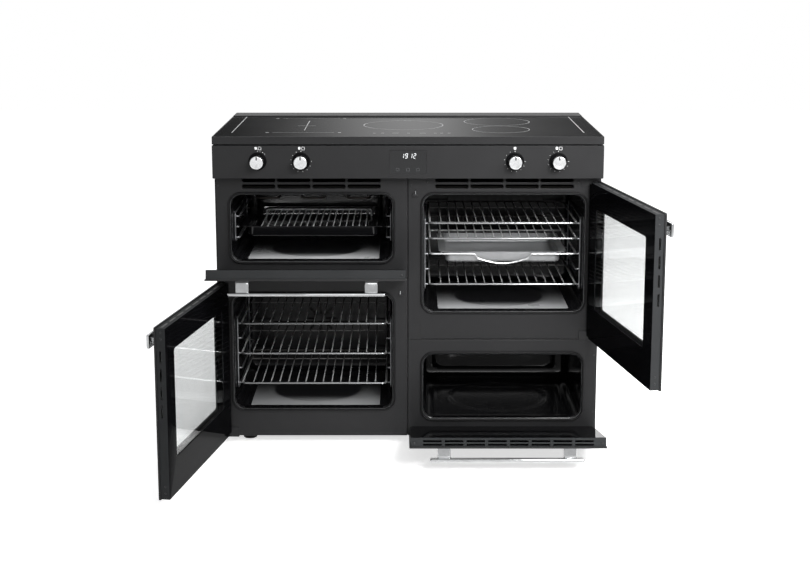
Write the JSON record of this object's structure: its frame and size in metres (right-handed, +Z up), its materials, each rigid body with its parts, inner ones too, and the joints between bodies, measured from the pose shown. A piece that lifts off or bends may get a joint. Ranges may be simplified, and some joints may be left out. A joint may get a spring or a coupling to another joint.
{
  "type": "range cooker",
  "caption": "Wide free-standing range cooker with a glass induction hob, clock and knobs, grill, fan ovens and slow oven behind hinged doors, wire shelves and pans.",
  "frame": {"origin": "on the floor, under the middle of the cabinet's 1100 x 600 mm plan", "axes": "+X to the cooker's right as seen from in front, +Y to its back, +Z up"},
  "size_m": [1.3474, 1.0971, 0.919],
  "materials": {
    "black_steel": "satin",
    "enamel": "gloss",
    "zinc_steel": "satin",
    "hob_glass": "gloss",
    "window_glass": "clear",
    "chrome": "polished",
    "wire": "polished",
    "rubber": "matt",
    "black_plastic": "matt",
    "display": "gloss",
    "wool": "matt",
    "copper": "satin",
    "tin_steel": "satin"
  },
  "bodies": {
    "cabinet": {"base_tray": "zinc_steel", "left_side_panel": "black_steel", "right_side_panel": "black_steel", "back_panel": "zinc_steel", "levelling_feet": "black_plastic", "grill_front": "enamel", "left_oven_front": "enamel", "right_oven_front": "enamel", "slow_oven_front": "enamel", "grill_cavity": "enamel", "left_oven_cavity": "enamel", "right_oven_cavity": "enamel", "slow_oven_cavity": "enamel", "insulation": "wool", "oven_seals": "rubber", "hob_frame": "black_steel", "hob_glass": "hob_glass", "rear_trim": "black_steel", "induction_coils": "copper", "power_module": "zinc_steel", "control_panel": "black_steel", "clock_display": "display", "knob_bezels": "black_plastic", "knob_switches": "black_plastic", "heating_elements": "zinc_steel", "fan_covers": "enamel", "fan_motors": "zinc_steel", "grill_rails": "wire", "left_oven_rails": "wire", "right_oven_rails": "wire", "frame_hardware": "zinc_steel"},
    "left_oven_fan_body": {"left_oven_fan": "zinc_steel"},
    "right_oven_fan_body": {"right_oven_fan": "zinc_steel"},
    "roasting_tray_body": {"roasting_tray": "tin_steel"},
    "grill_pan_body": {"grill_pan": "enamel"},
    "grill_trivet_body": {"grill_trivet": "wire"},
    "knob_far_left_body": {"knob_far_left": "chrome"},
    "knob_left_body": {"knob_left": "chrome"},
    "knob_right_body": {"knob_right": "chrome"},
    "knob_far_right_body": {"knob_far_right": "chrome"},
    "left_shelf_low_body": {"left_shelf_low": "wire"},
    "left_shelf_middle_body": {"left_shelf_middle": "wire"},
    "left_shelf_high_body": {"left_shelf_high": "wire"},
    "right_shelf_low_body": {"right_shelf_low": "wire"},
    "right_shelf_middle_body": {"right_shelf_middle": "wire"},
    "right_shelf_high_body": {"right_shelf_high": "wire"},
    "left_oven_door": {"left_oven_door_outer_panel": "black_steel", "left_oven_door_liner": "enamel", "left_oven_door_handle": "chrome", "left_oven_door_glass": "window_glass"},
    "right_oven_door": {"right_oven_door_outer_panel": "black_steel", "right_oven_door_liner": "enamel", "right_oven_door_handle": "chrome", "right_oven_door_glass": "window_glass"},
    "grill_door": {"grill_door_outer_panel": "black_steel", "grill_door_liner": "enamel", "grill_door_handle": "chrome"},
    "slow_oven_door": {"slow_oven_door_outer_panel": "black_steel", "slow_oven_door_liner": "enamel", "slow_oven_door_handle": "chrome"}
  },
  "joints": [
    {"name": "left_oven_door_hinge", "type": "hinge", "parent": "cabinet", "child": "left_oven_door", "pos_m": [-0.5325, -0.277, 0.033], "axis": [0, 0, 1], "range_deg": [0, 100.4]},
    {"name": "right_oven_door_hinge", "type": "hinge", "parent": "cabinet", "child": "right_oven_door", "pos_m": [0.5325, -0.277, 0.325], "axis": [0, 0, -1], "range_deg": [0, 100.4]},
    {"name": "grill_door_hinge", "type": "hinge", "parent": "cabinet", "child": "grill_door", "pos_m": [-0.275, -0.277, 0.515], "axis": [-1, 0, 0], "range_deg": [0, 78]},
    {"name": "slow_oven_door_hinge", "type": "hinge", "parent": "cabinet", "child": "slow_oven_door", "pos_m": [0.275, -0.277, 0.045], "axis": [-1, 0, 0], "range_deg": [0, 78]},
    {"name": "knob_far_left_turn", "type": "hinge", "parent": "cabinet", "child": "knob_far_left_body", "pos_m": [-0.422, -0.3, 0.8455], "axis": [0, 1, 0], "range_deg": [0, 270]},
    {"name": "knob_left_turn", "type": "hinge", "parent": "cabinet", "child": "knob_left_body", "pos_m": [-0.3, -0.3, 0.8455], "axis": [0, 1, 0], "range_deg": [0, 270]},
    {"name": "knob_right_turn", "type": "hinge", "parent": "cabinet", "child": "knob_right_body", "pos_m": [0.3, -0.3, 0.8455], "axis": [0, 1, 0], "range_deg": [0, 270]},
    {"name": "knob_far_right_turn", "type": "hinge", "parent": "cabinet", "child": "knob_far_right_body", "pos_m": [0.422, -0.3, 0.8455], "axis": [0, 1, 0], "range_deg": [0, 270]},
    {"name": "left_oven_fan_spin", "type": "hinge", "parent": "cabinet", "child": "left_oven_fan_body", "pos_m": [-0.275, 0.165, 0.281], "axis": [0, 1, 0], "continuous": true},
    {"name": "right_oven_fan_spin", "type": "hinge", "parent": "cabinet", "child": "right_oven_fan_body", "pos_m": [0.275, 0.165, 0.573], "axis": [0, 1, 0], "continuous": true},
    {"name": "left_shelf_low_slide", "type": "slide", "parent": "cabinet", "child": "left_shelf_low_body", "axis": [0, 1, 0], "range_m": [-0.25, 0]},
    {"name": "left_shelf_middle_slide", "type": "slide", "parent": "cabinet", "child": "left_shelf_middle_body", "axis": [0, 1, 0], "range_m": [-0.25, 0]},
    {"name": "left_shelf_high_slide", "type": "slide", "parent": "cabinet", "child": "left_shelf_high_body", "axis": [0, 1, 0], "range_m": [-0.25, 0]},
    {"name": "right_shelf_low_slide", "type": "slide", "parent": "cabinet", "child": "right_shelf_low_body", "axis": [0, 1, 0], "range_m": [-0.25, 0]},
    {"name": "right_shelf_middle_slide", "type": "slide", "parent": "cabinet", "child": "right_shelf_middle_body", "axis": [0, 1, 0], "range_m": [-0.25, 0]},
    {"name": "right_shelf_high_slide", "type": "slide", "parent": "cabinet", "child": "right_shelf_high_body", "axis": [0, 1, 0], "range_m": [-0.25, 0]},
    {"name": "roasting_tray_slide", "type": "slide", "parent": "cabinet", "child": "roasting_tray_body", "axis": [0, 1, 0], "range_m": [-0.25, 0]},
    {"name": "grill_pan_slide", "type": "slide", "parent": "cabinet", "child": "grill_pan_body", "axis": [0, 1, 0], "range_m": [-0.25, 0]},
    {"name": "grill_trivet_lift", "type": "slide", "parent": "grill_pan_body", "child": "grill_trivet_body", "axis": [0, 0, 1], "range_m": [0, 0.03]}
  ]
}
